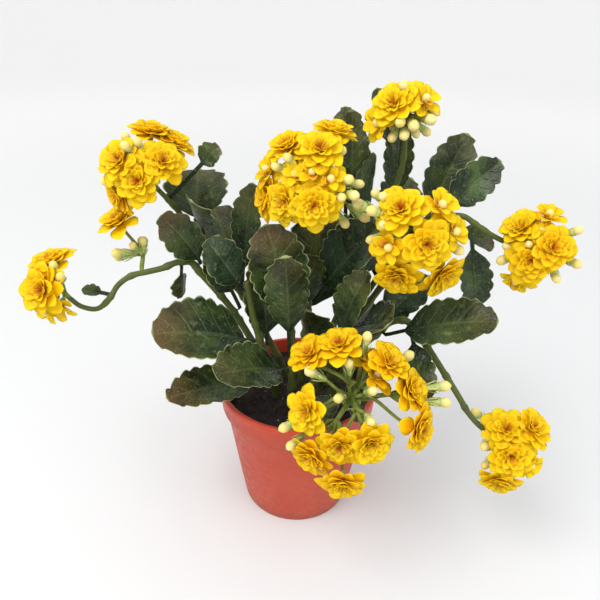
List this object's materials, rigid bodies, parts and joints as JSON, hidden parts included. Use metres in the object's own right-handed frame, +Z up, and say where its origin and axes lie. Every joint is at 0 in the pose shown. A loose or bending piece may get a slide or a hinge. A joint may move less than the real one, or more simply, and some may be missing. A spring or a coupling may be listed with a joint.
{
  "type": "potted kalanchoe",
  "caption": "Kalanchoe plant with scalloped leaves and sprays of double yellow flowers, growing in a tapered plastic nursery pot.",
  "frame": {"origin": "centre of the pot's underside", "axes": "+Z up along the pot's axis, -Y towards the front spray, +X to the right as seen from the front"},
  "size_m": [0.2922, 0.1705, 0.2826],
  "materials": {
    "terracotta_plastic": "satin",
    "potting_soil": "matte, crumbly peat mix with white grains",
    "stem_green": "satin",
    "leaf_green": "satin, waxy",
    "flower_yellow": "matte"
  },
  "bodies": {
    "root": {"pot": "terracotta_plastic", "soil": "potting_soil", "stem_far_left": "stem_green", "stem_left": "stem_green", "stem_centre": "stem_green", "stem_top": "stem_green", "stem_right": "stem_green", "stem_far_right": "stem_green", "stem_front": "stem_green", "stem_low_right": "stem_green", "shoot_left": "stem_green", "shoot_front": "stem_green", "leaf_01": "leaf_green", "leaf_02": "leaf_green", "leaf_03": "leaf_green", "leaf_04": "leaf_green", "leaf_05": "leaf_green", "leaf_06": "leaf_green", "leaf_07": "leaf_green", "leaf_08": "leaf_green", "leaf_09": "leaf_green", "leaf_10": "leaf_green", "leaf_11": "leaf_green", "leaf_12": "leaf_green", "leaf_13": "leaf_green", "leaf_14": "leaf_green", "leaf_15": "leaf_green", "leaf_16": "leaf_green", "leaf_17": "leaf_green", "leaf_18": "leaf_green", "leaf_19": "leaf_green", "leaf_20": "leaf_green", "leaf_21": "leaf_green", "leaf_22": "leaf_green", "leaf_23": "leaf_green", "leaf_24": "leaf_green", "leaf_25": "leaf_green", "leaf_26": "leaf_green", "leaf_27": "leaf_green", "leaf_28": "leaf_green", "leaf_29": "leaf_green", "leaf_30": "leaf_green", "leaf_31": "leaf_green", "leaf_32": "leaf_green", "leaf_33": "leaf_green", "leaf_34": "leaf_green", "leaf_35": "leaf_green", "leaf_36": "leaf_green", "leaf_37": "leaf_green", "leaf_38": "leaf_green", "leaf_39": "leaf_green", "flowers_far_left": "flower_yellow", "flowers_left": "flower_yellow", "flowers_low_left": "flower_yellow", "flowers_centre": "flower_yellow", "flowers_top": "flower_yellow", "flowers_right": "flower_yellow", "flowers_far_right": "flower_yellow", "flowers_front": "flower_yellow", "flowers_low_right": "flower_yellow"}
  },
  "joints": []
}
